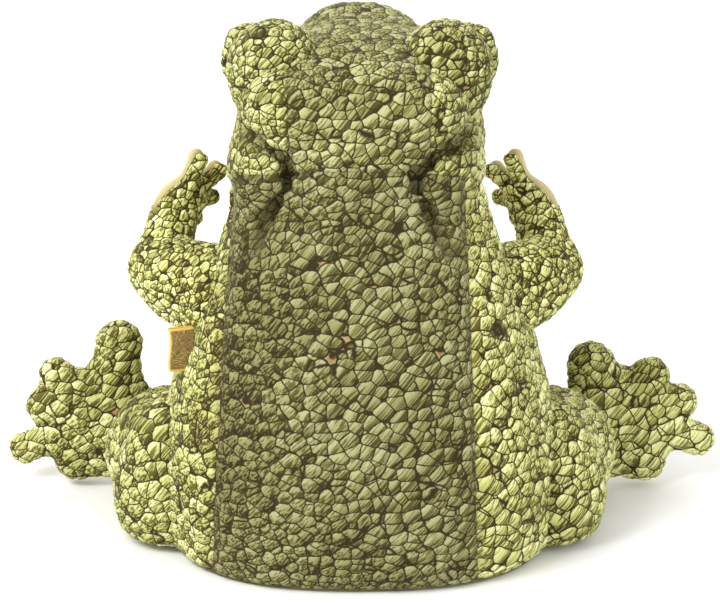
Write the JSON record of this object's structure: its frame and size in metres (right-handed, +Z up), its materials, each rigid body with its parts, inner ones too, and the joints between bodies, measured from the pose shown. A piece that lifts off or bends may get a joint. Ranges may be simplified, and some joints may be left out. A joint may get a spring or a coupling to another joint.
{
  "type": "hand puppet",
  "caption": "Sitting toad hand puppet in sewn plush with a hand sleeve, opening mouth, bulging eyes and posable soft arms and legs.",
  "frame": {"origin": "middle of the hand opening, on the surface that the toad sits on", "axes": "+Z up, the toad faces -Y, +X to the toad's own left"},
  "size_m": [0.3334, 0.1941, 0.2324],
  "materials": {
    "printed_velour": "short pile, printed with pebbly scales",
    "cream_velour": "short pile, cream",
    "base_fabric": "woven",
    "lining_fabric": "smooth woven lining",
    "mouth_fabric": "short pile, dull rose",
    "mouth_board": "flexible board",
    "stuffing": "loose polyester fibre",
    "eye_plastic": "glossy",
    "washer_plastic": "matte",
    "label": "soft leather-like tape"
  },
  "bodies": {
    "torso": {"back_panel": "printed_velour", "belly_panel": "cream_velour", "side_panel_left": "printed_velour", "side_panel_right": "printed_velour", "base_panel": "base_fabric", "opening_hem": "base_fabric", "hand_sleeve": "lining_fabric", "back_fill": "stuffing", "belly_fill": "stuffing", "side_fill_left": "stuffing", "side_fill_right": "stuffing", "label_tag": "label", "neck_sleeve": "printed_velour"},
    "head": {"crown_panel": "printed_velour", "cheek_panel_left": "printed_velour", "cheek_panel_right": "printed_velour", "throat_panel": "cream_velour", "palate_lining": "mouth_fabric", "upper_mouth_board": "mouth_board", "finger_pocket": "lining_fabric", "head_fill": "stuffing", "eye_bulge_left": "printed_velour", "eye_bulge_right": "printed_velour", "eye_left": "eye_plastic", "eye_right": "eye_plastic", "eye_washer_left": "washer_plastic", "eye_washer_right": "washer_plastic", "eye_fill_left": "stuffing", "eye_fill_right": "stuffing"},
    "jaw": {"jaw_panel": "cream_velour", "jaw_lining": "mouth_fabric", "lower_mouth_board": "mouth_board", "thumb_pocket": "lining_fabric", "jaw_fill": "stuffing"},
    "upper_arm_left": {"upper_arm_left": "printed_velour"},
    "forearm_left": {"forearm_left": "printed_velour", "hand_back_left": "printed_velour", "hand_palm_left": "cream_velour"},
    "thigh_left": {"thigh_left": "printed_velour"},
    "foot_left": {"foot_top_left": "printed_velour", "foot_sole_left": "cream_velour", "foot_fill_left": "stuffing"},
    "upper_arm_right": {"upper_arm_right": "printed_velour"},
    "forearm_right": {"forearm_right": "printed_velour", "hand_back_right": "printed_velour", "hand_palm_right": "cream_velour"},
    "thigh_right": {"thigh_right": "printed_velour"},
    "foot_right": {"foot_top_right": "printed_velour", "foot_sole_right": "cream_velour", "foot_fill_right": "stuffing"}
  },
  "joints": [
    {"name": "head_nod", "type": "hinge", "parent": "torso", "child": "head", "pos_m": [0, 0.002, 0.152], "axis": [1, 0, 0], "range_deg": [-18, 10]},
    {"name": "jaw_open", "type": "hinge", "parent": "head", "child": "jaw", "pos_m": [0, -0.018, 0.177], "axis": [1, 0, 0], "range_deg": [0, 22]},
    {"name": "shoulder_left", "type": "hinge", "parent": "torso", "child": "upper_arm_left", "pos_m": [0.077, 0, 0.112], "axis": [1, 0, 0], "range_deg": [-35, 20]},
    {"name": "elbow_left", "type": "hinge", "parent": "upper_arm_left", "child": "forearm_left", "pos_m": [0.09, -0.02, 0.114], "axis": [1, 0, 0], "range_deg": [-16, 30]},
    {"name": "hip_left", "type": "hinge", "parent": "torso", "child": "thigh_left", "pos_m": [0.08, 0.006, 0.033], "axis": [1, 0, 0], "range_deg": [-28, 0]},
    {"name": "ankle_left", "type": "hinge", "parent": "thigh_left", "child": "foot_left", "pos_m": [0.101, -0.036, 0.023], "axis": [1, 0, 0], "range_deg": [-6, 18]},
    {"name": "shoulder_right", "type": "hinge", "parent": "torso", "child": "upper_arm_right", "pos_m": [-0.077, 0, 0.112], "axis": [1, 0, 0], "range_deg": [-35, 20]},
    {"name": "elbow_right", "type": "hinge", "parent": "upper_arm_right", "child": "forearm_right", "pos_m": [-0.09, -0.02, 0.114], "axis": [1, 0, 0], "range_deg": [-16, 30]},
    {"name": "hip_right", "type": "hinge", "parent": "torso", "child": "thigh_right", "pos_m": [-0.08, 0.006, 0.033], "axis": [1, 0, 0], "range_deg": [-28, 0]},
    {"name": "ankle_right", "type": "hinge", "parent": "thigh_right", "child": "foot_right", "pos_m": [-0.101, -0.036, 0.023], "axis": [1, 0, 0], "range_deg": [-6, 18]}
  ]
}
